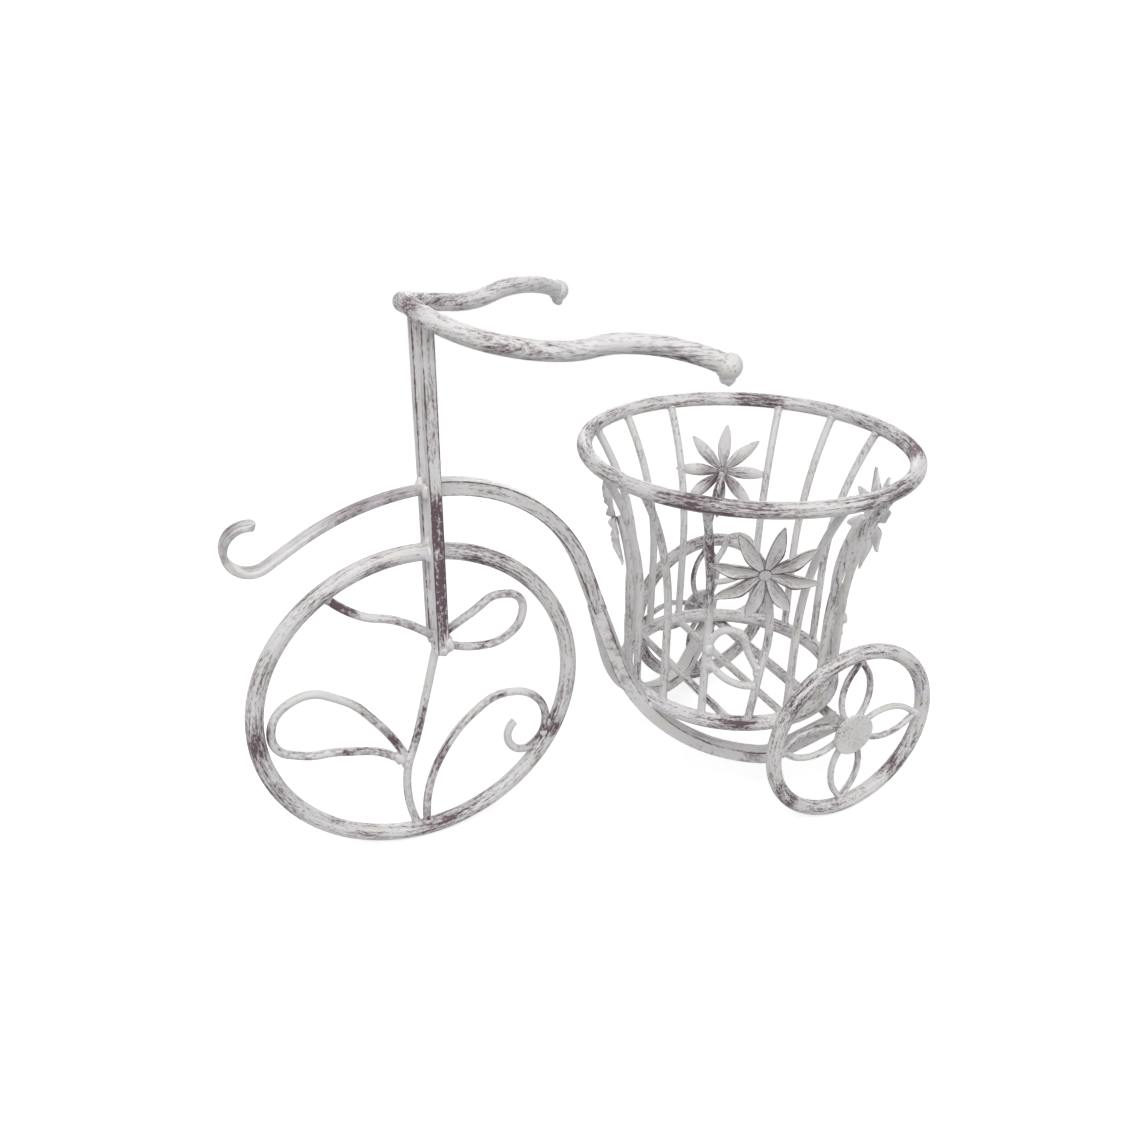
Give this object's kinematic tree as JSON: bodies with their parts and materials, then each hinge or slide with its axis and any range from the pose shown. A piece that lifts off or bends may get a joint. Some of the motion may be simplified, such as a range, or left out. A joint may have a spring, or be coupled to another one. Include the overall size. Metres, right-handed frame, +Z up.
{
  "type": "plant stand",
  "caption": "Tricycle-shaped plant stand welded from whitewashed steel rod and wire: a flared basket with flowers over small rear wheels, a vine-filled front wheel and a curved handlebar.",
  "frame": {"origin": "on the floor, midway along the length and midway across the width", "axes": "+X from the front wheel towards the basket, +Y to the rider's right, +Z up"},
  "size_m": [0.42, 0.21, 0.333],
  "materials": {
    "painted_rod": "antique whitewash, satin, worn through to plum brown",
    "painted_bar": "antique whitewash, satin, worn through to plum brown along the edges",
    "painted_wire": "antique whitewash, satin, thin over plum brown",
    "painted_sheet": "antique whitewash, satin, brushed thin in the hollows"
  },
  "bodies": {
    "root": {"basket_bar_01": "painted_wire", "basket_bar_02": "painted_wire", "basket_bar_03": "painted_wire", "basket_bar_04": "painted_wire", "basket_bar_05": "painted_wire", "basket_bar_06": "painted_wire", "basket_bar_07": "painted_wire", "basket_bar_08": "painted_wire", "basket_bar_09": "painted_wire", "basket_bar_10": "painted_wire", "basket_bar_11": "painted_wire", "basket_bar_12": "painted_wire", "basket_bottom_ring": "painted_rod", "basket_top_ring": "painted_rod", "floor_wire_front": "painted_wire", "floor_wire_middle": "painted_wire", "flower_1": "painted_sheet", "flower_2": "painted_sheet", "flower_3": "painted_sheet", "flower_4": "painted_sheet", "flower_leaf_1": "painted_wire", "flower_leaf_2": "painted_wire", "flower_leaf_3": "painted_wire", "flower_leaf_4": "painted_wire", "flower_stem_1": "painted_wire", "flower_stem_2": "painted_wire", "flower_stem_3": "painted_wire", "flower_stem_4": "painted_wire", "fork_blade_left": "painted_bar", "fork_blade_right": "painted_bar", "fork_pin": "painted_rod", "frame_arch": "painted_bar", "frame_leg_left": "painted_bar", "frame_leg_right": "painted_bar", "front_rim": "painted_rod", "front_scroll": "painted_bar", "handlebar": "painted_rod", "hub_disc_left": "painted_sheet", "hub_disc_right": "painted_sheet", "knob_left": "painted_rod", "knob_right": "painted_rod", "rear_axle": "painted_rod", "rear_petal_left_1": "painted_wire", "rear_petal_left_2": "painted_wire", "rear_petal_left_3": "painted_wire", "rear_petal_left_4": "painted_wire", "rear_petal_right_1": "painted_wire", "rear_petal_right_2": "painted_wire", "rear_petal_right_3": "painted_wire", "rear_petal_right_4": "painted_wire", "rear_rim_left": "painted_rod", "rear_rim_right": "painted_rod", "vine_branch": "painted_wire", "vine_lower_leaf": "painted_wire", "vine_stem": "painted_wire", "vine_tendril": "painted_wire", "vine_upper_leaf": "painted_wire"}
  },
  "joints": []
}
